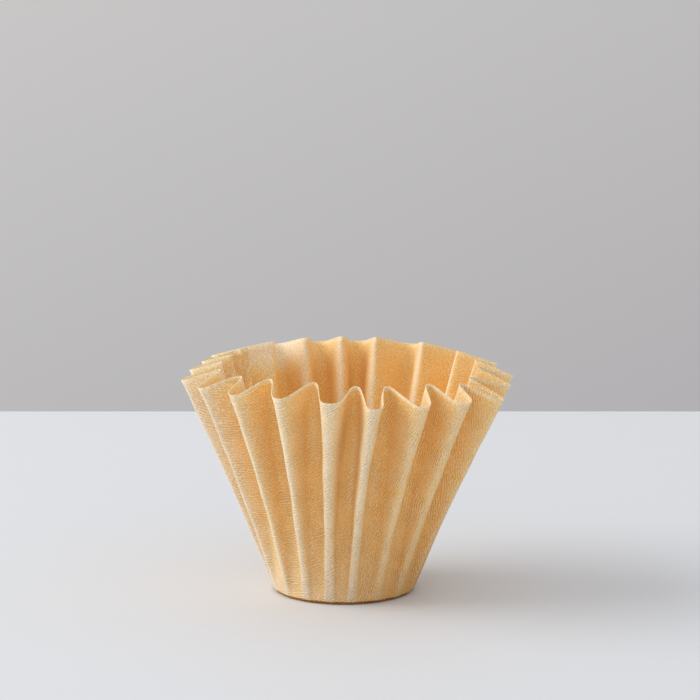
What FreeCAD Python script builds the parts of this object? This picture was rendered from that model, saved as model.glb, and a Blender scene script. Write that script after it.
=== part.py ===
import FreeCAD, Part
import math
import os

# Basket coffee filter: one round sheet of unbleached paper, pressed into a flat round floor and a
# fluted wall that opens towards the rim.
# Frame: origin at the centre of the floor's underside, +Z up, -Y is the front of the cup.
# Angles are degrees counter-clockwise seen from above, counted from the front.
# Slant is distance along the paper from the floor's edge towards the rim.
# An outer fold is the crest of a flute seen from outside, an inner fold is the hollow between two.

NODE = "filter_paper"

# Driving sizes in millimetres
SIZES = (
    ("floor_radius", 22.9, "edge of the flat floor, where the wall turns up"),
    ("wall_slant", 77.0, "paper from the floor's edge to the rim"),
    ("sheet_offset", 0.8, "how far the round sheet sits behind the middle of the floor"),
    ("paper_thickness", 0.22, "creped paper"),
    ("corner_reach", 1.6, "paper on each side of the floor's edge that is bent round it"),
    ("rim_radius", 46.0, "half way between the outer and inner folds at the rim"),
    ("outer_fold_width", 4.0, "width of a plain outer fold's rounded tip at the rim"),
    ("inner_fold_width", 2.4, "width of an inner fold's rounded tip at the rim"),
    ("flute_fade", 2.6, "slant over which the flutes grow out of the round floor edge"),
)

# Hand-pressed flutes are uneven. Each list goes round the cup from the front, one value for a flute.
# Angle where each outer fold leaves the floor's edge
OUTER_FOLD_FLOOR = (
    6, 27, 48, 67, 83, 98, 113, 130, 148, 168, 186, 204, 221, 238, 254, 270, 286, 308, 329, 349)
# Angle where each outer fold ends at the rim
OUTER_FOLD_RIM = (
    11, 29, 46, 62, 78, 93, 109, 132, 155, 175, 189, 206, 240, 254, 266, 278, 295, 314, 334, 355)
# Angle where the inner fold before each outer fold ends at the rim
INNER_FOLD_RIM = (
    6, 21, 41, 56, 68, 87, 102, 119, 142, 165, 181, 197, 214, 237, 256, 270, 283, 302, 319, 344)
# How far each flute's two folds bow round the cup half way up the wall, in degrees
FOLD_BOW = (0, 0, 0, 0, 0, 0, 0, 0, 0, 2, 1, 2, 7, 5, 4.5, 3.5, 3, 2.5, 1, 0)
# How much further out than an even rim each fold ends, in millimetres
OUTER_FOLD_PULL = (
    -0.5, 0.5, 1.8, 5, 2.1, 2.5, 0.5, 0.5, 0, 0.5, 0.5, 0, -2.5, -4.4, -2.5, 0.4, -1.5, -3, -5, -4)
INNER_FOLD_PULL = (
    -2.5, -1, 1.5, 5.5, 4.5, 4, 4.8, 3.5, 3, 2, 3, 4, 2.5, -1, -1.5, 0.5, 1.5, -0.5, -3.5, -5.2)
# Width of each fold's tip, as a share of a plain one
OUTER_FOLD_SPREAD = (
    1.3, 1.3, 1.6, 0.9, 0.7, 0.7, 0.8, 1, 1.2, 1.3, 1.2, 1.2, 1, 0.8, 0.7, 0.7, 0.8, 1.2, 1.1, 1.6)
INNER_FOLD_SPREAD = (
    1, 1, 1, 0.8, 0.8, 0.8, 0.7, 0.6, 0.6, 0.65, 0.65, 0.65, 0.8, 0.8, 0.8, 0.8, 0.9, 1, 1, 1)

# How the wall opens on its way up: 1 is a plain cone, and more flares out towards the rim
WALL_FLARE = 1.1
# Depth of a flute with rounded tips, as a share of the depth with flat ones
ROUNDED_DEPTH = 1.13

# Facets of the bend round the floor's edge, and where the wall above it is divided, from 0 to 1
CORNER_STEPS = 3
WALL_ROWS = (0.05, 0.14, 0.3, 0.5, 0.74, 1.0)
# Facets at each control point of a flute: both sides of the inner tip, the flank, both sides of the
# outer tip and the other flank
BEND_STEPS = (2, 2, 1, 3, 3, 1)

SEAM_TOLERANCE = 0.0001


def make_sheet(doc):
    """Spreadsheet with one named cell for each driving size."""
    sheet = doc.addObject("Spreadsheet::Sheet", "Sizes")
    for row, (name, value, note) in enumerate(SIZES, start=1):
        cell = "B%d" % row
        sheet.set("A%d" % row, name)
        sheet.set(cell, str(value))
        sheet.setAlias(cell, name)
        sheet.set("C%d" % row, note)
    doc.recompute()
    return sheet


def between(start, end, share):
    """Value between start and end, by the share of the way."""
    return start + (end - start) * share


def polar(radius, degrees, height):
    """Point at a radius and an angle counted from the front."""
    angle = math.radians(degrees)
    return FreeCAD.Vector(radius * math.sin(angle), -radius * math.cos(angle), height)


def outer_tip_width(sheet, slant):
    """Width of a plain outer fold's tip: narrow for most of the wall and full at the rim."""
    share = slant / sheet.wall_slant
    return sheet.outer_fold_width * between(0.45, 1, share ** 4)


def inner_tip_width(sheet, slant):
    """Width of a plain inner fold's tip: widest half way up the wall."""
    share = slant / sheet.wall_slant
    swell = 1.8 * math.sqrt(max(share * (1 - share), 0))
    return sheet.inner_fold_width * (between(1.25, 1, share) + swell)


def flute_depth(sheet, slant, middle_radius):
    """Depth of a flute that takes up the paper that a plain round wall has no room for.

    The two flanks of a flute are sloping sides of right-angled triangles. Their length is the
    flute's share of the paper less its two tips, and their base is its room less its two tips.
    """
    flute = 2 * math.pi / len(OUTER_FOLD_RIM)
    tips = outer_tip_width(sheet, slant) + inner_tip_width(sheet, slant)
    flanks = flute * (sheet.floor_radius + slant) - tips
    base = flute * middle_radius - tips
    fade = 1 - math.exp(-slant / sheet.flute_fade)
    return 0.5 * math.sqrt(max(flanks ** 2 - base ** 2, 0)) * ROUNDED_DEPTH * fade


def paper_point(sheet, radius, degrees, slant):
    """Point on the paper's middle: the slant, less the sheet's offset, ends at this radius."""
    run = radius - sheet.floor_radius
    offset = sheet.sheet_offset * slant / sheet.wall_slant
    local_slant = slant - offset * math.cos(math.radians(degrees))
    height = math.sqrt(local_slant ** 2 - run ** 2)
    return polar(radius, degrees, height + sheet.paper_thickness / 2)


def tip(sheet, radius, degrees, width, slant):
    """Two control points, one at each side of a fold's tip."""
    turn = math.degrees(width / 2 / radius)
    return [paper_point(sheet, radius, degrees + side * turn, slant) for side in (-1, 1)]


def wall_row(sheet, slant):
    """Control points of the paper's middle at one slant: six for each flute.

    They are the two sides of the inner fold, the middle of the rising flank, the two sides of the
    outer fold and the middle of the falling flank.
    """
    share = slant / sheet.wall_slant
    middle = between(sheet.floor_radius, sheet.rim_radius, share ** WALL_FLARE)
    half_depth = flute_depth(sheet, slant, middle) / 2
    tips = []
    for i, floor_angle in enumerate(OUTER_FOLD_FLOOR):
        last_angle = OUTER_FOLD_FLOOR[i - 1] - (360 if i == 0 else 0)
        bow = FOLD_BOW[i] * 4 * share * (1 - share)
        inner_angle = between((last_angle + floor_angle) / 2, INNER_FOLD_RIM[i], share) + bow
        inner_radius = middle - half_depth + INNER_FOLD_PULL[i] * share
        inner_width = inner_tip_width(sheet, slant) * INNER_FOLD_SPREAD[i]
        tips.append(tip(sheet, inner_radius, inner_angle, inner_width, slant))
        outer_angle = between(floor_angle, OUTER_FOLD_RIM[i], share) + bow
        outer_radius = middle + half_depth + OUTER_FOLD_PULL[i] * share
        outer_width = outer_tip_width(sheet, slant) * OUTER_FOLD_SPREAD[i]
        tips.append(tip(sheet, outer_radius, outer_angle, outer_width, slant))
    row = []
    for this_tip, next_tip in zip(tips, tips[1:] + tips[:1]):
        row += this_tip
        row.append((this_tip[1] + next_tip[0]) / 2)
    return row


def offset_row(row, distance):
    """The row moved sideways off the paper's middle, square to its own line at every point."""
    moved = []
    for i, point in enumerate(row):
        before = point - row[i - 1]
        after = row[(i + 1) % len(row)] - point
        side_before = FreeCAD.Vector(before.y, -before.x, 0).normalize()
        side_after = FreeCAD.Vector(after.y, -after.x, 0).normalize()
        mitre = (side_before + side_after) / (1 + side_before.dot(side_after))
        moved.append(point + mitre * distance)
    return moved


def round_row(row, radius, height):
    """Control points of a plain round line, at the angles of another row's points."""
    level = FreeCAD.Vector(0, 0, height)
    return [FreeCAD.Vector(point.x, point.y, 0).normalize() * radius + level for point in row]


def bend_row(start, bend, end, share):
    """Row at a share of the way round a smooth bend, from start to end by way of bend."""
    weights = ((1 - share) ** 2, 2 * share * (1 - share), share ** 2)
    return [a * weights[0] + b * weights[1] + c * weights[2] for a, b, c in zip(start, bend, end)]


def face_rows(sheet, side):
    """Rows of control points of one face of the paper, +1 for the outside and -1 for the inside.

    They run from the flat floor, round the floor's edge and up the wall to the rim.
    """
    half = sheet.paper_thickness / 2
    lean = math.asin((sheet.rim_radius - sheet.floor_radius) / sheet.wall_slant)
    level = half - side * half
    corner_shift = side * half * (1 - math.sin(lean)) / math.cos(lean)
    slants = [between(sheet.corner_reach, sheet.wall_slant, share) for share in (0,) + WALL_ROWS]
    wall = [offset_row(wall_row(sheet, slant), side * half / math.cos(lean)) for slant in slants]
    floor_end = round_row(wall[0], sheet.floor_radius - sheet.corner_reach, level)
    corner = round_row(wall[0], sheet.floor_radius + corner_shift, level)
    bends = [bend_row(floor_end, corner, wall[0], step / CORNER_STEPS) for step in range(CORNER_STEPS)]
    return bends + wall


def line_points(row):
    """Points along a row's smooth line.

    The line is a string of parabolas: each starts and ends half way between two control points and
    bends at the point between them. A flank is straight, so it needs no more than its ends.
    """
    halves = [(point + row[(i + 1) % len(row)]) / 2 for i, point in enumerate(row)]
    points = []
    for i, bend in enumerate(row):
        steps = BEND_STEPS[i % len(BEND_STEPS)]
        shares = [step / steps for step in range(steps)]
        points += [bend_row([halves[i - 1]], [bend], [halves[i]], share)[0] for share in shares]
    return points


def band_facets(low, high):
    """Facets between two lines of points, facing away from the cup when high is above low."""
    facets = []
    for i in range(len(low)):
        j = (i + 1) % len(low)
        facets.append((low[i], low[j], high[j]))
        facets.append((low[i], high[j], high[i]))
    return [facet for facet in facets if len(set(facet)) == 3]


def make_paper(sheet):
    """The whole folded sheet: floor, outer face, cut rim, inner face and floor again."""
    outside = [line_points(row) for row in face_rows(sheet, 1)]
    inside = [line_points(row) for row in face_rows(sheet, -1)]
    centres = [[FreeCAD.Vector(0, 0, rows[0][0].z)] * len(rows[0]) for rows in (outside, inside)]
    lines = [[tuple(point) for point in line] for line in centres[:1] + outside + inside[::-1] + centres[1:]]
    facets = [facet for low, high in zip(lines, lines[1:]) for facet in band_facets(low, high)]
    numbers = {point: number for number, point in enumerate(dict.fromkeys(sum(lines, [])))}
    points = [FreeCAD.Vector(*point) for point in numbers]
    numbered = [tuple(numbers[point] for point in facet) for facet in facets]
    shell = Part.Shape()
    shell.makeShapeFromMesh((points, numbered), SEAM_TOLERANCE)
    return Part.Solid(shell)


def check(doc, parts):
    """Stops with a plain message if an object failed or a sub-part isn't one sound solid."""
    for item in doc.Objects:
        if "Invalid" in item.State or "Error" in item.State:
            raise RuntimeError("object failed: " + item.Label)
    for item in parts:
        shape = item.Shape
        if shape.isNull() or not shape.isValid() or len(shape.Solids) != 1 or shape.Volume <= 0:
            raise RuntimeError("not one sound solid: " + item.Label)


def main():
    doc = FreeCAD.newDocument("coffee_filter")
    sheet = make_sheet(doc)
    paper = doc.addObject("Part::Feature", NODE)
    paper.Label = NODE
    paper.Shape = make_paper(sheet)
    paper.Placement = FreeCAD.Placement()
    doc.recompute()
    check(doc, [paper])
    os.makedirs("parts", exist_ok=True)
    paper.Shape.exportStep("parts/%s.step" % NODE)
    box = paper.Shape.BoundBox
    print("facets %d, volume mm3 %.1f" % (len(paper.Shape.Faces), paper.Shape.Volume))
    print("box mm %.2f %.2f %.2f to %.2f %.2f %.2f" % (
        box.XMin, box.YMin, box.ZMin, box.XMax, box.YMax, box.ZMax))


main()
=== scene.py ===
import math

import bpy
import numpy as np
from bpy.props import FloatProperty, FloatVectorProperty, IntProperty, PointerProperty
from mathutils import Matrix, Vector


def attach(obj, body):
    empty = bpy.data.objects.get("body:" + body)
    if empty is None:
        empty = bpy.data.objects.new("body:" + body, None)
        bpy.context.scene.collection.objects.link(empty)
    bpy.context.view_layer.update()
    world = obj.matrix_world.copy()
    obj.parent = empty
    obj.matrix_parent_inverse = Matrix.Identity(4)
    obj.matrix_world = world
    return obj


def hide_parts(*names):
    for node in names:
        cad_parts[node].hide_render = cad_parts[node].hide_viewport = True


bl_info = {
    "name": "Paper Coffee Filter",
    "version": (1, 0, 0),
    "blender": (4, 5, 0),
    "location": "View3D > Sidebar > Coffee Filter",
    "description": "Builds a fluted basket filter of creped paper on a studio table",
    "category": "Add Mesh",
}

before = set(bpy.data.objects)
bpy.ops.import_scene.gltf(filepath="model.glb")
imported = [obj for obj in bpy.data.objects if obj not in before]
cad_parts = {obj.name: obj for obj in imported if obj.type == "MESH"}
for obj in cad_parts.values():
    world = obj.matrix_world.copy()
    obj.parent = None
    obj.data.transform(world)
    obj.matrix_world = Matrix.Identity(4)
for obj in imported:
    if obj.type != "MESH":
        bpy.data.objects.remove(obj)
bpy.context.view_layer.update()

# Lengths are metres. Angles of the folds are degrees counter-clockwise seen from above, counted
# from the front, and each list has one value for a flute.

# Angle where each outer fold leaves the floor's edge
OUTER_FOLD_FLOOR = (
    6, 27, 48, 67, 83, 98, 113, 130, 148, 168, 186, 204, 221, 238, 254, 270, 286, 308, 329, 349)
# Angle where each outer fold ends at the rim
OUTER_FOLD_RIM = (
    11, 29, 46, 62, 78, 93, 109, 132, 155, 175, 189, 206, 240, 254, 266, 278, 295, 314, 334, 355)
# Angle where the inner fold before each outer fold ends at the rim
INNER_FOLD_RIM = (
    6, 21, 41, 56, 68, 87, 102, 119, 142, 165, 181, 197, 214, 237, 256, 270, 283, 302, 319, 344)
# How far each flute's two folds bow round the cup half way up the wall, in degrees
FOLD_BOW = (0, 0, 0, 0, 0, 0, 0, 0, 0, 2, 1, 2, 7, 5, 4.5, 3.5, 3, 2.5, 1, 0)
# How much further out than an even rim each fold ends, in millimetres
OUTER_FOLD_PULL = (
    -0.5, 0.5, 1.8, 5, 2.1, 2.5, 0.5, 0.5, 0, 0.5, 0.5, 0, -2.5, -4.4, -2.5, 0.4, -1.5, -3, -5, -4)
INNER_FOLD_PULL = (
    -2.5, -1, 1.5, 5.5, 4.5, 4, 4.8, 3.5, 3, 2, 3, 4, 2.5, -1, -1.5, 0.5, 1.5, -0.5, -3.5, -5.2)
# Width of each fold's tip, as a share of a plain one
OUTER_FOLD_SPREAD = (
    1.3, 1.3, 1.6, 0.9, 0.7, 0.7, 0.8, 1, 1.2, 1.3, 1.2, 1.2, 1, 0.8, 0.7, 0.7, 0.8, 1.2, 1.1, 1.6)
INNER_FOLD_SPREAD = (
    1, 1, 1, 0.8, 0.8, 0.8, 0.7, 0.6, 0.6, 0.65, 0.65, 0.65, 0.8, 0.8, 0.8, 0.8, 0.9, 1, 1, 1)

# Power of the slant's share by which the middle radius grows from the floor's edge to the rim
WALL_FLARE = 1.1
# How much deeper a flute's control points are, because the parabolas cut their corners
ROUNDED_DEPTH = 1.13
# Widths of the tips at the floor's edge, and how much wider inner ones get, as shares of the rim's
OUTER_TIP_AT_FLOOR = 0.45
INNER_TIP_AT_FLOOR = 1.25
INNER_TIP_SWELL = 1.8

# Columns of the mesh at each control point of a flute: both sides of the inner tip, the flank,
# both sides of the outer tip and the other flank
COLUMNS = (7, 7, 2, 7, 7, 2)
# How far each of those control points is towards the outer fold
CREST = (0.0, 0.0, 0.5, 1.0, 1.0, 0.5)
# Which side of a flute each of them is on: 1 on the flank before the outer fold, -1 after it
LEAN = (-0.5, 0.5, 1.0, 0.5, -0.5, -1.0)
# Rows of the mesh on the flat floor and round the bend at its edge, and the power that crowds
# the wall's rows towards the floor
FLOOR_ROWS = 6
BEND_ROWS = 8
ROW_CROWDING = 1.2

# Faint folds in the hollows: mesh column, and the shares of the wall where each starts and ends
FAINT_FOLDS = ((9, 0.42, 0.85), (38, 0.4, 0.72), (614, 0.62, 0.88), (78, 0.3, 0.6))
FAINT_FOLD_HEIGHT = 0.00016
# Width in columns, and the share of the wall over which each end fades
FAINT_FOLD_WIDTH = 1.6
FAINT_FOLD_FADE = 0.08
# Dents: place on the flat sheet in millimetres, direction in degrees, half length and half width
DENTS = (
    (60.3, -38, 76, 5.5, 0.7), (31.5, -56.5, 10, 3.4, 0.9), (46.2, -39.7, 20, 3, 0.8),
    (64, -25, 85, 3, 0.8))
DENT_DEPTH = 0.00028
# Ripples of the whole sheet: length of each wave, its direction and its start in radians
RIPPLES = ((0.021, 0.4, 1.0), (0.027, 1.9, 2.2), (0.034, 2.8, 0.3), (0.016, 1.2, 4.0))
RIPPLE_HEIGHT = 0.00022

# Bands of the wall, as the shares of its slant between which each one fades in
ABOVE_FOOT = (0.0, 0.1)
ABOVE_LOW_WALL = (0.1, 0.5)
COARSE_BAND = (0.72, 0.92)
RIM_BAND = (0.84, 0.95)
RIM_EDGE = (0.99, 1.0)
# Distances up the paper from the floor's edge between which the painted contact shade ends, and the
# paleness that gives that painted shade's colour on the ramp
CONTACT_SHADE_END = (0.0008, 0.0012)
CONTACT_SHADE_PALENESS = -0.7

# How strong the crepe's lines are inside, as a share of the outside
INSIDE_RIBS = 0.4
# Distance of the lines of a Wave node at scale 1, where its coordinates are millimetres
PLAIN_WAVE = 0.000314

# Places round the cup, as a middle and a width in degrees. Inside, the lit and pale places get
# painted light, and the dull place less of it.
LIT_FRONT_RIGHT = (45, 28)
LIT_BACK_RIGHT = (130, 40)
PALE_BACK_LEFT = (208, 14)
DULL_BACK_LEFT = (232, 26)
COARSE_RIGHT = (84, 26)
COARSE_BACK_LEFT = (238, 20)
COARSE_FRONT_LEFT = (300, 16)

# The camera's picture and focal length in pixels, its sensor in millimetres, and how many
# degrees it looks down
PICTURE_WIDTH = 700
FOCAL_LENGTH = 4500
SENSOR_WIDTH = 36.0
CAMERA_PLACE = (0.0019985, -1.4297666, 0.3678963)
CAMERA_DIP = 11.41

WINDOW_PLACE = (-2.0, 0.0, 1.3)
WINDOW_TARGET = (0, 0, 0.04)
WINDOW_SIZE = 1.8
WINDOW_TINT = (1, 0.98, 0.95)
ROOM_TINT = (1.0, 0.985, 0.975, 1.0)
# Direction in which the wall's painted light grows, and the mix of its colours at its origin
WALL_SLOPE = (-0.65, 0.0, 1.7)
WALL_MIX = 0.9


class PaperSizes(bpy.types.PropertyGroup):
    """Sizes of the pressed sheet."""

    floor_radius: FloatProperty(
        name="Floor Radius", description="Edge of the flat floor", default=0.0229, unit="LENGTH")
    wall_slant: FloatProperty(
        name="Wall Slant", description="Paper from the floor's edge to the rim", default=0.077,
        unit="LENGTH")
    sheet_offset: FloatProperty(
        name="Sheet Offset", description="How far the round sheet sits behind the floor's middle",
        default=0.0008, unit="LENGTH")
    thickness: FloatProperty(
        name="Thickness", description="Thickness of the creped paper", default=0.00022,
        unit="LENGTH")
    corner_reach: FloatProperty(
        name="Corner Reach", description="Paper on each side of the floor's edge that is bent",
        default=0.0016, unit="LENGTH")
    rim_radius: FloatProperty(
        name="Rim Radius", description="Half way between outer and inner folds at the rim",
        default=0.046, unit="LENGTH")
    outer_fold_width: FloatProperty(
        name="Outer Fold Width", description="Width of a plain outer fold's tip at the rim",
        default=0.004, unit="LENGTH")
    inner_fold_width: FloatProperty(
        name="Inner Fold Width", description="Width of an inner fold's tip at the rim",
        default=0.0024, unit="LENGTH")
    flute_fade: FloatProperty(
        name="Flute Fade", description="Slant over which the flutes grow out of the floor's edge",
        default=0.0026, unit="LENGTH")
    wall_rows: IntProperty(
        name="Wall Rows", description="Rows of the mesh up the wall", default=56, min=8)


class PaperLook(bpy.types.PropertyGroup):
    """Colours and surface of the unbleached paper; the pale crest colour holds a painted highlight,
    and the dark colour under the floor a painted contact shade.
    """

    # Paper where a fold stands out: partly its own paler tone, partly a painted highlight where
    # light catches the fold
    crest_colour: FloatVectorProperty(
        name="Crest Colour", description="Paper where a fold stands out", subtype="COLOR",
        default=(0.94, 0.775, 0.58), min=0.0, max=1.0)
    flank_colour: FloatVectorProperty(
        name="Flank Colour", description="Paper between the folds", subtype="COLOR",
        default=(0.95, 0.655, 0.34), min=0.0, max=1.0)
    hollow_colour: FloatVectorProperty(
        name="Hollow Colour", description="Paper at the bottom of a hollow", subtype="COLOR",
        default=(0.95, 0.54, 0.165), min=0.0, max=1.0)
    # Painted contact shade: dark brown under the floor and round its edge, where the paper meets
    # the table
    contact_shade_colour: FloatVectorProperty(
        name="Contact Shade Colour", description="Paper under the floor and round its edge",
        subtype="COLOR", default=(0.42, 0.14, 0.02), min=0.0, max=1.0)
    crepe_spacing: FloatProperty(
        name="Crepe Spacing", description="Distance between two lines of the crepe",
        default=0.00085, unit="LENGTH", precision=5)
    crepe_height: FloatProperty(
        name="Crepe Height", description="Height of the lines of the crepe", default=0.00035,
        unit="LENGTH", precision=5)
    crepe_turn: FloatProperty(
        name="Crepe Direction", description="Angle of the crepe's lines on the flat sheet",
        default=math.radians(45), subtype="ANGLE")


class StudioLook(bpy.types.PropertyGroup):
    """The table, the wall behind it and the light."""

    table_colour: FloatVectorProperty(
        name="Table Colour", description="Colour of the table", subtype="COLOR",
        default=(0.735, 0.765, 0.81), min=0.0, max=1.0)
    # The wall's two colours paint the light falling from the upper left: lighter high on the left,
    # painted shade low on the right
    wall_colour: FloatVectorProperty(
        name="Wall Colour", description="Colour of the wall high up on the left", subtype="COLOR",
        default=(0.64, 0.64, 0.645), min=0.0, max=1.0)
    wall_low_colour: FloatVectorProperty(
        name="Low Wall Colour", description="Colour of the wall low down on the right",
        subtype="COLOR", default=(0.52, 0.515, 0.535), min=0.0, max=1.0)
    table_back: FloatProperty(
        name="Table Back Edge", description="Where the table ends behind the filter",
        default=0.273, unit="LENGTH")
    wall_distance: FloatProperty(
        name="Wall Distance", description="Where the wall stands", default=2.2, unit="LENGTH")
    window_power: FloatProperty(
        name="Window Power", description="Power of the soft light from the left", default=35.5,
        unit="POWER")
    room_strength: FloatProperty(
        name="Room Strength", description="Strength of the even light of the room", default=0.74)


class Paint:
    """A material whose nodes are added one by one."""

    def __init__(self, name):
        self.material = bpy.data.materials.new(name)
        self.material.use_nodes = True
        self.tree = self.material.node_tree
        self.shader = self.tree.nodes["Principled BSDF"]

    def connect(self, socket, value):
        """Links a socket to a changing value, or sets it to a plain one."""
        if isinstance(value, Changing):
            value = value.socket
        if isinstance(value, bpy.types.NodeSocket):
            self.tree.links.new(value, socket)
        else:
            socket.default_value = value

    def add(self, kind, settings, inputs, output=0):
        """Adds a node of a kind, makes its settings, fills its inputs and gives one output."""
        node = self.tree.nodes.new(kind)
        for name, value in settings.items():
            if name == "stops":
                ramp = node.color_ramp
                while len(ramp.elements) < len(value):
                    ramp.elements.new(0.5)
                for element, (place, colour) in zip(ramp.elements, value):
                    element.position = place
                    element.color = colour
            else:
                setattr(node, name, value)
        for name, value in inputs.items():
            self.connect(node.inputs[name], value)
        return Changing(self, node.outputs[output])

    def surface(self, inputs):
        """Fills sockets of the material's own shader."""
        for name, value in inputs.items():
            self.connect(self.shader.inputs[name], value)


class Changing:
    """A number that changes over a surface. Arithmetic on it adds Math nodes."""

    def __init__(self, paint, socket):
        self.paint = paint
        self.socket = socket

    def reckon(self, operation, first, second):
        """Adds one Math node for two numbers."""
        return self.paint.add("ShaderNodeMath", {"operation": operation}, {0: first, 1: second})

    def __add__(self, other):
        return self.reckon("ADD", self, other)

    def __radd__(self, other):
        return self.reckon("ADD", other, self)

    def __sub__(self, other):
        return self.reckon("SUBTRACT", self, other)

    def __rsub__(self, other):
        return self.reckon("SUBTRACT", other, self)

    def __mul__(self, other):
        return self.reckon("MULTIPLY", self, other)

    def __rmul__(self, other):
        return self.reckon("MULTIPLY", other, self)

    def __abs__(self):
        return self.reckon("ABSOLUTE", self, 0.0)


def paper_point(sizes, radius, angle, slant):
    """Point on the paper's middle at a radius, an angle and a slant.

    Its height is the other side of a right-angled triangle, with the slant less the sheet's offset
    as the long side and the distance from the floor's edge as the short one.
    """
    reach = slant - sizes.sheet_offset * slant / sizes.wall_slant * np.cos(angle)
    rise = np.sqrt(reach ** 2 - (radius - sizes.floor_radius) ** 2) + sizes.thickness / 2
    return np.stack([radius * np.sin(angle), -radius * np.cos(angle), rise + 0 * angle], axis=-1)


def fold_rings(sizes, slants):
    """Control points of the paper's middle, as (rows, six for each flute, 3).

    The middle radius grows from the floor's edge to the rim. A flute is as deep as the paper that
    a plain round wall has no room for, by the right-angled triangle of the two, less the tips.
    Outer tips stay narrow until near the rim, and inner tips are widest half way up. The folds'
    angles and pulls run evenly from the floor to the rim, and a bow is added to the angles.
    """
    slant = slants[:, None]
    share = slant / sizes.wall_slant
    middle = sizes.floor_radius + (sizes.rim_radius - sizes.floor_radius) * share ** WALL_FLARE
    outer_width = sizes.outer_fold_width * (
        OUTER_TIP_AT_FLOOR + (1 - OUTER_TIP_AT_FLOOR) * share ** 4)
    swell = INNER_TIP_SWELL * np.sqrt(np.maximum(share * (1 - share), 0))
    inner_width = sizes.inner_fold_width * (
        INNER_TIP_AT_FLOOR + (1 - INNER_TIP_AT_FLOOR) * share + swell)
    flute = 2 * math.pi / len(OUTER_FOLD_RIM)
    tips = outer_width + inner_width
    spare = (flute * (sizes.floor_radius + slant) - tips) ** 2 - (flute * middle - tips) ** 2
    fade = 1 - np.exp(-slant / sizes.flute_fade)
    half_depth = 0.25 * np.sqrt(np.maximum(spare, 0)) * ROUNDED_DEPTH * fade

    outer_floor = np.radians(OUTER_FOLD_FLOOR)
    inner_floor = (outer_floor + np.roll(outer_floor, 1)) / 2
    inner_floor[0] -= math.pi
    bow = np.radians(FOLD_BOW) * 4 * share * (1 - share)
    inner_angle = inner_floor + (np.radians(INNER_FOLD_RIM) - inner_floor) * share + bow
    outer_angle = outer_floor + (np.radians(OUTER_FOLD_RIM) - outer_floor) * share + bow
    inner_radius = middle - half_depth + np.array(INNER_FOLD_PULL) * 0.001 * share
    outer_radius = middle + half_depth + np.array(OUTER_FOLD_PULL) * 0.001 * share
    inner_turn = inner_width * np.array(INNER_FOLD_SPREAD) / 2 / inner_radius
    outer_turn = outer_width * np.array(OUTER_FOLD_SPREAD) / 2 / outer_radius

    inner_start = paper_point(sizes, inner_radius, inner_angle - inner_turn, slant)
    inner_end = paper_point(sizes, inner_radius, inner_angle + inner_turn, slant)
    outer_start = paper_point(sizes, outer_radius, outer_angle - outer_turn, slant)
    outer_end = paper_point(sizes, outer_radius, outer_angle + outer_turn, slant)
    rising = (inner_end + outer_start) / 2
    falling = (outer_end + np.roll(inner_start, -1, axis=1)) / 2
    ring = np.stack([inner_start, inner_end, rising, outer_start, outer_end, falling], axis=2)
    return ring.reshape(len(slants), -1, 3)


def along_ring(control):
    """Points along closed rings of control points, (rows, controls, n) to (rows, columns, n).

    Each ring is a string of parabolas: one starts and ends half way between two control points
    and bends at the point between them.
    """
    counts = np.tile(COLUMNS, control.shape[1] // len(COLUMNS))
    bend = np.repeat(np.arange(len(counts)), counts)
    first = np.repeat(np.cumsum(counts) - counts, counts)
    u = ((np.arange(len(bend)) - first) / counts[bend])[:, None]
    before = control[:, bend - 1]
    after = control[:, (bend + 1) % len(counts)]
    middle = control[:, bend] * (0.5 + u - u ** 2)
    return before * 0.5 * (1 - u) ** 2 + middle + after * 0.5 * u ** 2


def round_flutes(values):
    """One value for each column, from a flute's six values at its control points."""
    return along_ring(np.tile(values, len(OUTER_FOLD_RIM))[None, :, None])[0, :, 0]


def ripples(sheet):
    """Mean of plane waves over the flat sheet, from -1 to 1."""
    total = 0 * sheet[..., 0]
    for length, direction, start in RIPPLES:
        across = sheet[..., 0] * math.cos(direction) + sheet[..., 1] * math.sin(direction)
        total = total + np.sin(2 * math.pi * across / length + start)
    return total / len(RIPPLES)


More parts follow.
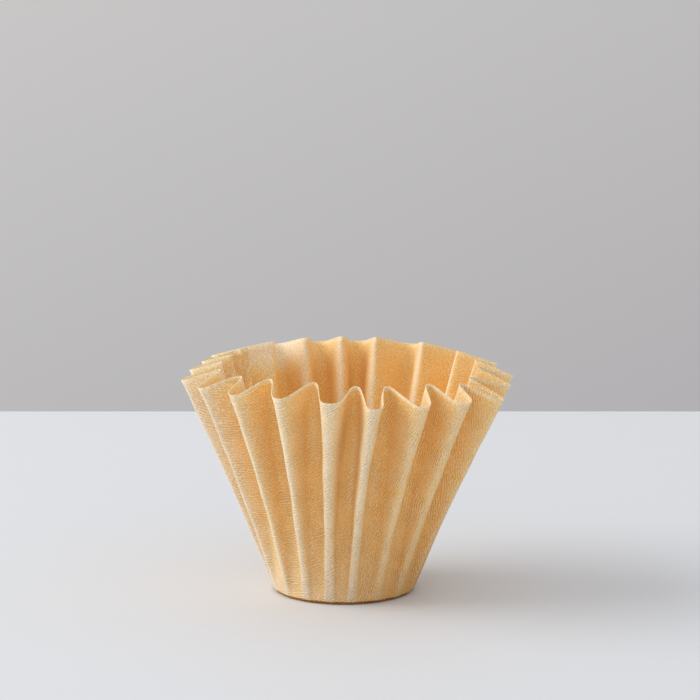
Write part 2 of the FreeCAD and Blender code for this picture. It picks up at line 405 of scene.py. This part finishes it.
def paper_surface(sizes):
    """The paper's middle as rows and columns of points, their flat-sheet places and their climb.

    The first rows are the flat floor, the next go round a smooth bend at its edge, and the rest
    climb the wall. A point's flat-sheet place has its slant plus the floor's radius as distance
    from the middle, and as angle the share of the way round its row. Its climb is the share of
    the wall below it.
    """
    reach = sizes.corner_reach
    rows = np.linspace(0, 1, sizes.wall_rows)
    slants = reach + (sizes.wall_slant - reach) * rows ** ROW_CROWDING
    wall = along_ring(fold_rings(sizes, slants))

    flat = wall[0] * (1, 1, 0)
    outward = flat / np.linalg.norm(flat, axis=1, keepdims=True)
    level = np.array([0, 0, sizes.thickness / 2])
    floor_end = outward * (sizes.floor_radius - reach) + level
    corner = outward * sizes.floor_radius + level
    share = np.linspace(0, 1, BEND_ROWS + 1)[:-1, None, None]
    bend = floor_end * (1 - share) ** 2 + corner * 2 * share * (1 - share) + wall[0] * share ** 2
    radii = (sizes.floor_radius - reach) * np.linspace(0.1, 0.9, FLOOR_ROWS)[:, None, None]
    points = np.concatenate([outward * radii + level, bend, wall])

    steps = np.linalg.norm(wall - np.roll(wall, 1, axis=1), axis=2)
    steps[:, 0] = 0
    whole = steps.sum(axis=1) + np.linalg.norm(wall[:, 0] - wall[:, -1], axis=1)
    start = math.radians((OUTER_FOLD_FLOOR[0] + OUTER_FOLD_FLOOR[-1] - 360) / 2)
    turn = start + 2 * math.pi * np.cumsum(steps, axis=1) / whole[:, None]
    turn = np.concatenate([np.repeat(turn[:1], len(points) - len(wall), axis=0), turn])
    distance = np.concatenate([
        radii[:, 0, 0],
        sizes.floor_radius - reach + 2 * reach * share[:, 0, 0],
        sizes.floor_radius + slants])[:, None]
    sheet = np.stack([distance * np.sin(turn), -distance * np.cos(turn)], axis=-1)
    climb = np.clip((distance - sizes.floor_radius) / sizes.wall_slant, 0, 1)
    return points, sheet, climb + 0 * turn


def rise_between(values, low, high):
    """Smooth step from 0 at low to 1 at high: three squares less two cubes of the share."""
    share = np.clip((values - low) / (high - low), 0, 1)
    return share ** 2 * (3 - 2 * share)


def bell(values, middle, width):
    """Bell curve: 1 at the middle, and 1/e at the width from it."""
    return np.exp(-((values - middle) / width) ** 2)


def faint_folds(climb):
    """Extra faint folds that run up some hollows, from 0 to 1: a bell curve over the columns."""
    columns = climb.shape[1]
    total = 0 * climb
    for column, low, high in FAINT_FOLDS:
        away = (np.arange(columns) - column + columns / 2) % columns - columns / 2
        starts = rise_between(climb, low, low + FAINT_FOLD_FADE)
        ends = rise_between(climb, high - FAINT_FOLD_FADE, high)
        total += bell(away, 0, FAINT_FOLD_WIDTH) * starts * (1 - ends)
    return total


def dents(sheet):
    """Small pinched creases, from 0 to 1: long bell curves at places of the flat sheet."""
    total = 0 * sheet[..., 0]
    for x, y, direction, length, width in DENTS:
        east = sheet[..., 0] * 1000 - x
        north = sheet[..., 1] * 1000 - y
        turn = math.radians(direction)
        along = east * math.cos(turn) + north * math.sin(turn)
        across = north * math.cos(turn) - east * math.sin(turn)
        total += np.exp(-(along / length) ** 2 - (across / width) ** 2)
    return total


def way_round(sheet):
    """Angle of each flat-sheet place in degrees, from 0 to 360, counted like the folds' angles."""
    return np.degrees(np.arctan2(sheet[..., 0], -sheet[..., 1])) % 360


def rightness(sheet):
    """How far to the right each flat-sheet place is seen from the middle: sine of its angle."""
    return sheet[..., 0] / np.linalg.norm(sheet, axis=-1)


def crests():
    """How far each column is towards its outer fold, and how much it is on the side before it."""
    return round_flutes(CREST), rise_between(round_flutes(LEAN), -0.45, 0.2)


def outside_paleness(sizes, climb, sheet):
    """How pale the paper is outside: 1 is the crests' colour, and -0.7 is the painted contact
    shade's.

    Much of it is painted light from the window on the left. The outer folds are pale, partly with a
    painted highlight, most on the side before their crest, and so are the faint folds, the foot of
    the wall, the far left and the rim's edge; the far left's paleness is painted light. The right,
    away from the light, and the dents get painted shade and are less pale. The floor's underside
    and the bend round its edge have the painted contact shade's colour.
    """
    crest, before = crests()
    right = rightness(sheet)
    # Painted highlight on the outer folds, partly their own paler tone, widest on the side before
    # the crest
    fold = 0.24 * crest ** 2 + 0.5 * crest ** (13 - 7 * before) * (0.3 + 0.7 * before)
    fold = fold + 0.25 * faint_folds(climb)
    # Painted shade: the folds are less pale on the right, away from the light
    fold = fold * (1 - 0.45 * rise_between(right, 0.2, 0.5))
    # Painted light on the far left, which faces the light
    far_left = 0.4 * rise_between(-right, 0.8, 0.96)
    # Paler at the foot of the wall, with painted shade taking most of it away on the right
    foot = (0.36 - 0.6 * np.maximum(right, 0)) * (1 - climb) ** 5
    # Painted shade on the right side and in the dents
    pale = 0.12 - 0.04 * right + far_left + fold + foot - 0.3 * dents(sheet)
    pale = pale + 0.8 * (1 - pale) * rise_between(climb, *RIM_EDGE)
    # Painted contact shade below the middle of the bend round the floor's edge
    climbed = np.linalg.norm(sheet, axis=-1) - sizes.floor_radius
    above = rise_between(climbed, *CONTACT_SHADE_END)
    return pale * above + CONTACT_SHADE_PALENESS * (1 - above)


def inside_paleness(climb, sheet):
    """How pale the paper is inside: 0 is near a hollow's colour, and 1 is the crests'.

    Nearly all of it is painted light from the window on the left. The inner folds get a painted
    highlight on the side that leads to their outer fold, least at the back left. The band under the
    rim gets painted light at the back left, apart from the other side of each inner fold, which
    stays in painted shade. The front right and the back right get a little painted light above the
    foot, and the rim's edge is paler all round.
    """
    crest, before = crests()
    turn = way_round(sheet)
    # Painted highlight on the side of each inner fold that leads to its outer fold
    strip = (1 - crest) ** 7 * before * (1 - 0.75 * bell(turn, *DULL_BACK_LEFT))
    strip = strip * rise_between(climb, *ABOVE_FOOT)
    # Painted light in the band under the rim, most at the back left; the other side of each inner
    # fold keeps painted shade
    band = rise_between(climb, *RIM_BAND) * (0.1 + 0.85 * bell(turn, *PALE_BACK_LEFT))
    band = band * (1 - 0.95 * (1 - crest) ** 1.5 * (1 - before))
    # A little painted light at the front right and the back right
    lit = 0.35 * bell(turn, *LIT_FRONT_RIGHT) + 0.06 * bell(turn, *LIT_BACK_RIGHT)
    band = band + lit * rise_between(climb, *ABOVE_LOW_WALL)
    pale = 0.08 + 0.85 * strip + band * (1 - strip)
    return pale + 0.4 * (1 - pale) * rise_between(climb, *RIM_EDGE)


def painted_floor_shade(climb, sheet):
    """Painted shade: the share of its colour that is left, less near the floor, and least at its
    right, away from the light.
    """
    return 1 - (0.24 + 0.14 * rightness(sheet)) * (1 - climb) ** 3


def outside_crinkles(climb, sheet):
    """Where the crepe is coarse outside: under the rim at the front left, and less at the right."""
    turn = way_round(sheet)
    places = 0.7 * bell(turn, *COARSE_FRONT_LEFT) + 0.25 * bell(turn, *COARSE_RIGHT)
    return places * rise_between(climb, *COARSE_BAND)


def inside_crinkles(climb, sheet):
    """Where the crepe is coarse inside: under the rim at the right and at the back left."""
    turn = way_round(sheet)
    places = 1.45 * bell(turn, *COARSE_RIGHT) + 1.2 * bell(turn, *COARSE_BACK_LEFT)
    return places * rise_between(climb, *COARSE_BAND)


def outward_normals(points):
    """Unit normals of closed rows of points: the way round a row crossed with the way up."""
    round_row = np.roll(points, -1, axis=1) - np.roll(points, 1, axis=1)
    up = np.gradient(points, axis=0)
    normal = np.cross(round_row, up)
    return normal / np.linalg.norm(normal, axis=2, keepdims=True)


def sheet_faces(rows, columns, first, flipped):
    """Quads between neighbouring rows of closed columns, counted from a first vertex."""
    row = first + np.arange(rows - 1)[:, None] * columns
    column = np.arange(columns)[None, :]
    low = row + column
    after = row + (column + 1) % columns
    quads = np.stack([low, after, after + columns, low + columns], axis=-1).reshape(-1, 4)
    return quads[:, ::-1] if flipped else quads


def closed_faces(rows, columns):
    """Quads of the outside, the inside and the rim, and triangles round the floor's two poles."""
    count = rows * columns
    around = np.arange(columns)
    after = (around + 1) % columns
    rim = (rows - 1) * columns
    quads = np.concatenate([
        sheet_faces(rows, columns, 0, False),
        sheet_faces(rows, columns, count, True),
        np.stack([rim + around, rim + after, count + rim + after, count + rim + around], axis=-1)])
    fans = np.concatenate([
        np.stack([2 * count + 0 * around, after, around], axis=-1),
        np.stack([2 * count + 1 + 0 * around, count + around, count + after], axis=-1)])
    return quads, fans


def give_values(mesh, name, outside, inside, poles):
    """Stores one number for each vertex under a name that a material can read."""
    values = np.concatenate([outside.ravel(), inside.ravel(), poles])
    attribute = mesh.attributes.new(name, "FLOAT", "POINT")
    attribute.data.foreach_set("value", values.astype(np.float32))


def make_paper(sizes):
    """Closed mesh of the sheet: the middle surface moved out and in by half the thickness.

    Small ripples, faint folds and dents stand on the middle surface, square to it. The ripples
    fade out towards the floor. The rim's faces come last of the quads and stay flat.
    """
    points, sheet, climb = paper_surface(sizes)
    rows, columns = climb.shape
    height = RIPPLE_HEIGHT * ripples(sheet) * np.minimum(climb * 3, 1)
    height += FAINT_FOLD_HEIGHT * faint_folds(climb) - DENT_DEPTH * dents(sheet)
    points = points + outward_normals(points) * height[..., None]
    half = outward_normals(points) * sizes.thickness / 2
    half[:FLOOR_ROWS] = (0, 0, -sizes.thickness / 2)
    outside = (points + half).reshape(-1, 3)
    inside = (points - half).reshape(-1, 3)
    poles = np.array([[0, 0, 0], [0, 0, sizes.thickness]])
    vertices = np.concatenate([outside, inside, poles])
    quads, fans = closed_faces(rows, columns)

    mesh = bpy.data.meshes.new("pressed_sheet")
    mesh.vertices.add(len(vertices))
    mesh.vertices.foreach_set("co", vertices.astype(np.float32).ravel())
    corners = np.concatenate([quads.ravel(), fans.ravel()]).astype(np.int32)
    mesh.loops.add(len(corners))
    mesh.loops.foreach_set("vertex_index", corners)
    mesh.polygons.add(len(quads) + len(fans))
    starts = np.concatenate([
        np.arange(len(quads)) * 4, len(quads) * 4 + np.arange(len(fans)) * 3]).astype(np.int32)
    mesh.polygons.foreach_set("loop_start", starts)
    mesh.update(calc_edges=True)
    smooth = np.ones(len(quads) + len(fans), bool)
    smooth[len(quads) - columns:len(quads)] = False
    mesh.polygons.foreach_set("use_smooth", smooth)

    flat_sheet = np.concatenate([sheet.reshape(-1, 2), sheet.reshape(-1, 2), np.zeros((2, 2))])
    places = 0.5 + flat_sheet / (2 * (sizes.floor_radius + sizes.wall_slant))
    corner_places = places[corners].astype(np.float32).ravel()
    mesh.uv_layers.new(name="flat_sheet")
    mesh.uv_layers["flat_sheet"].uv.foreach_set("vector", corner_places)
    give_values(
        mesh, "pale", outside_paleness(sizes, climb, sheet), inside_paleness(climb, sheet),
        (0.3, 0.1))
    give_values(
        mesh, "coarse", outside_crinkles(climb, sheet), inside_crinkles(climb, sheet), (0, 0))
    even = np.ones_like(climb)
    # Painted shade near the floor outside, none inside
    give_values(mesh, "kept", painted_floor_shade(climb, sheet), even, (1, 1))
    give_values(mesh, "ribbed", even, INSIDE_RIBS * even, (1, INSIDE_RIBS))
    if mesh.validate():
        raise RuntimeError("the pressed sheet's mesh had to be mended")
    return mesh


def creped_paper(look, sizes):
    """Unbleached crepe paper: painted highlight on crests, warm hollows, cloudy fibres, fine
    parallel lines.
    """
    paint = Paint("creped_paper")
    width = 2 * (sizes.floor_radius + sizes.wall_slant)
    flat = paint.add("ShaderNodeUVMap", {"uv_map": "flat_sheet"}, {})
    centred = paint.add(
        "ShaderNodeMapping", {}, {"Vector": flat, "Location": (-0.5, -0.5, 0)})
    turned = paint.add(
        "ShaderNodeMapping", {},
        {"Vector": centred, "Rotation": (0, 0, math.pi - look.crepe_turn),
         "Scale": (width * 1000, width * 1000, 1)})
    ribs = paint.add(
        "ShaderNodeTexWave", {"wave_type": "BANDS", "bands_direction": "X"},
        {"Vector": turned, "Scale": PLAIN_WAVE / look.crepe_spacing, "Distortion": 8.0,
         "Detail": 2.0, "Detail Scale": 0.8, "Detail Roughness": 0.6})
    patches = paint.add(
        "ShaderNodeTexNoise", {}, {"Vector": turned, "Scale": 0.12, "Detail": 2.0})
    folds = paint.add(
        "ShaderNodeTexNoise", {},
        {"Vector": turned, "Scale": 0.62, "Detail": 1.0, "Roughness": 0.4, "Distortion": 1.2})
    grain = paint.add(
        "ShaderNodeTexNoise", {}, {"Vector": turned, "Scale": 1.5, "Detail": 3.0})
    cloud = paint.add(
        "ShaderNodeTexNoise", {},
        {"Vector": turned, "Scale": 0.22, "Detail": 4.0, "Roughness": 0.6})
    pale, coarse, kept, ribbed = [
        paint.add("ShaderNodeAttribute", {"attribute_name": name}, {}, "Fac")
        for name in ("pale", "coarse", "kept", "ribbed")]

    depth = paint.add(
        "ShaderNodeMapRange", {"interpolation_type": "SMOOTHSTEP"},
        {"Value": patches, "From Min": 0.35, "From Max": 0.62, "To Min": 0.3, "To Max": 1.0})
    ridge = 0.5 - abs(folds - 0.5) * 8.0
    stroke = ridge.reckon("MAXIMUM", ridge, -0.12)
    # The crepe's lines and the coarse crinkle strokes shift the tone and the shade besides the
    # bump: painted shade and highlight of their relief
    lines = (ribs - 0.5) * depth * ribbed * 0.5 + stroke * coarse * 0.9
    tone = pale + (cloud - 0.5) * 0.6 + (grain - 0.5) * 0.9 + lines * 0.7
    # The ramp runs from the painted contact shade through the hollows and flanks to the crests,
    # whose paleness is partly painted highlight
    colours = [tuple(colour) + (1.0,) for colour in (
        look.contact_shade_colour, look.hollow_colour, look.hollow_colour, look.flank_colour,
        look.crest_colour)]
    places = (0.0, 0.16, 0.34, 0.64, 1.0)
    colour = paint.add(
        "ShaderNodeValToRGB", {"stops": tuple(zip(places, colours))}, {"Fac": tone * 0.6 + 0.4})
    # The shade holds the crepe's painted line shade, the grain, and the painted shade near the
    # floor
    shade = (lines * 0.55 + (grain - 0.5) * 0.6 + 1.0) * kept
    shaded = paint.add("ShaderNodeVectorMath", {"operation": "SCALE"}, {0: colour, "Scale": shade})
    height = lines * 0.9 + grain * 0.5
    bump = paint.add(
        "ShaderNodeBump", {}, {"Height": height, "Strength": 1.0, "Distance": look.crepe_height})
    paint.surface({
        "Base Color": shaded, "Normal": bump, "Roughness": 0.9, "Specular IOR Level": 0.25,
        "Subsurface Weight": 0.35, "Subsurface Radius": (0.8, 0.65, 0.5),
        "Subsurface Scale": 0.001})
    return paint.material


def wall_paint(look):
    """Matt wall with painted light, a little lighter towards its upper left where the light falls:
    the way along a slope sets the mix.

    The Mix node's sockets are given by number, because its names are there more than once.
    """
    paint = Paint("wall_grey")
    place = paint.add("ShaderNodeTexCoord", {}, {}, "Object")
    slope = paint.add(
        "ShaderNodeVectorMath", {"operation": "DOT_PRODUCT"}, {0: place, 1: WALL_SLOPE}, "Value")
    low = tuple(look.wall_low_colour) + (1.0,)
    high = tuple(look.wall_colour) + (1.0,)
    mixed = paint.add(
        "ShaderNodeMix", {"data_type": "RGBA"}, {0: slope + WALL_MIX, 6: low, 7: high}, 2)
    paint.surface({"Base Color": mixed, "Roughness": 0.9, "Specular IOR Level": 0.2})
    return paint.material


def plain_surface(name, colour, roughness):
    """One even matt colour for the stage."""
    paint = Paint(name)
    paint.surface({
        "Base Color": tuple(colour) + (1.0,), "Roughness": roughness, "Specular IOR Level": 0.2})
    return paint.material


def put_in_scene(name, mesh, material):
    """Object at the origin that holds a finished mesh."""
    mesh.materials.append(material)
    thing = bpy.data.objects.new(name, mesh)
    bpy.context.scene.collection.objects.link(thing)
    return thing


def block(name, low, high, material):
    """Box between two corners."""
    xs, ys, zs = zip(low, high)
    corners = [(x, y, z) for x in xs for y in ys for z in zs]
    faces = [(0, 1, 3, 2), (4, 6, 7, 5), (0, 4, 5, 1), (2, 3, 7, 6), (0, 2, 6, 4), (1, 5, 7, 3)]
    mesh = bpy.data.meshes.new(name)
    mesh.from_pydata(corners, [], faces)
    thing = put_in_scene(name, mesh, material)


def soft_light(name, place, target, size, power, colour):
    """Square area light at a place, turned to a target."""
    data = bpy.data.lights.new(name, "AREA")
    data.shape = "SQUARE"
    data.size = size
    data.energy = power
    data.color = colour
    lamp = bpy.data.objects.new(name, data)
    lamp.location = place
    lamp.rotation_euler = (Vector(target) - Vector(place)).to_track_quat("-Z", "Y").to_euler()
    bpy.context.scene.collection.objects.link(lamp)


class FILTER_OT_camera(bpy.types.Operator):
    """Sets up the long lens that looks a little down on the filter"""

    bl_idname = "coffee_filter.camera"
    bl_label = "Camera"

    def execute(self, context):
        data = bpy.data.cameras.new("camera")
        data.sensor_width = SENSOR_WIDTH
        data.lens = SENSOR_WIDTH * FOCAL_LENGTH / PICTURE_WIDTH
        data.clip_end = 20.0
        camera = bpy.data.objects.new("camera", data)
        camera.location = CAMERA_PLACE
        camera.rotation_euler = (math.radians(90 - CAMERA_DIP), 0, 0)
        context.scene.collection.objects.link(camera)
        context.scene.camera = camera
        return {"FINISHED"}


class FILTER_OT_paper(bpy.types.Operator):
    """Presses the round sheet of paper into the fluted filter"""

    bl_idname = "coffee_filter.paper"
    bl_label = "Filter Paper"

    def execute(self, context):
        sizes = context.scene.filter_sizes
        mesh = make_paper(sizes)
        paper = put_in_scene("pressed_filter", mesh, creped_paper(context.scene.filter_look, sizes))
        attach(paper, "root")
        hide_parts("filter_paper")
        return {"FINISHED"}


class FILTER_OT_studio(bpy.types.Operator):
    """Sets up the table, the wall and the soft light"""

    bl_idname = "coffee_filter.studio"
    bl_label = "Studio"

    def execute(self, context):
        look = context.scene.filter_studio
        table = plain_surface("table_white", look.table_colour, 0.6)
        block("table", (-1.6, -2.4, -0.03), (1.6, look.table_back, 0.0), table)
        low = (-4, look.wall_distance, -1.6)
        block("wall", low, (4, look.wall_distance + 0.05, 2.4), wall_paint(look))
        soft_light(
            "window", WINDOW_PLACE, WINDOW_TARGET, WINDOW_SIZE, look.window_power, WINDOW_TINT)
        world = bpy.data.worlds.new("room")
        world.use_nodes = True
        room = world.node_tree.nodes["Background"]
        room.inputs["Color"].default_value = ROOM_TINT
        room.inputs["Strength"].default_value = look.room_strength
        context.scene.world = world
        context.scene.view_settings.view_transform = "Standard"
        return {"FINISHED"}


class FILTER_PT_panel(bpy.types.Panel):
    """Sizes, colours and the steps that build the filter"""

    bl_idname = "FILTER_PT_panel"
    bl_label = "Coffee Filter"
    bl_space_type = "VIEW_3D"
    bl_region_type = "UI"
    bl_category = "Coffee Filter"

    def draw(self, context):
        for step in (FILTER_OT_camera, FILTER_OT_paper, FILTER_OT_studio):
            self.layout.operator(step.bl_idname)
        for name in ("filter_sizes", "filter_look", "filter_studio"):
            group = getattr(context.scene, name)
            box = self.layout.box()
            for key in group.bl_rna.properties.keys():
                if key not in ("rna_type", "name"):
                    box.prop(group, key)


CLASSES = (
    PaperSizes, PaperLook, StudioLook, FILTER_OT_camera, FILTER_OT_paper, FILTER_OT_studio,
    FILTER_PT_panel)


def register():
    for each in CLASSES:
        bpy.utils.register_class(each)
    bpy.types.Scene.filter_sizes = PointerProperty(type=PaperSizes)
    bpy.types.Scene.filter_look = PointerProperty(type=PaperLook)
    bpy.types.Scene.filter_studio = PointerProperty(type=StudioLook)


def unregister():
    del bpy.types.Scene.filter_studio
    del bpy.types.Scene.filter_look
    del bpy.types.Scene.filter_sizes
    for each in reversed(CLASSES):
        bpy.utils.unregister_class(each)


def main():
    register()
    bpy.ops.coffee_filter.camera()
    bpy.ops.coffee_filter.paper()
    bpy.ops.coffee_filter.studio()


if __name__ == "__main__":
    main()
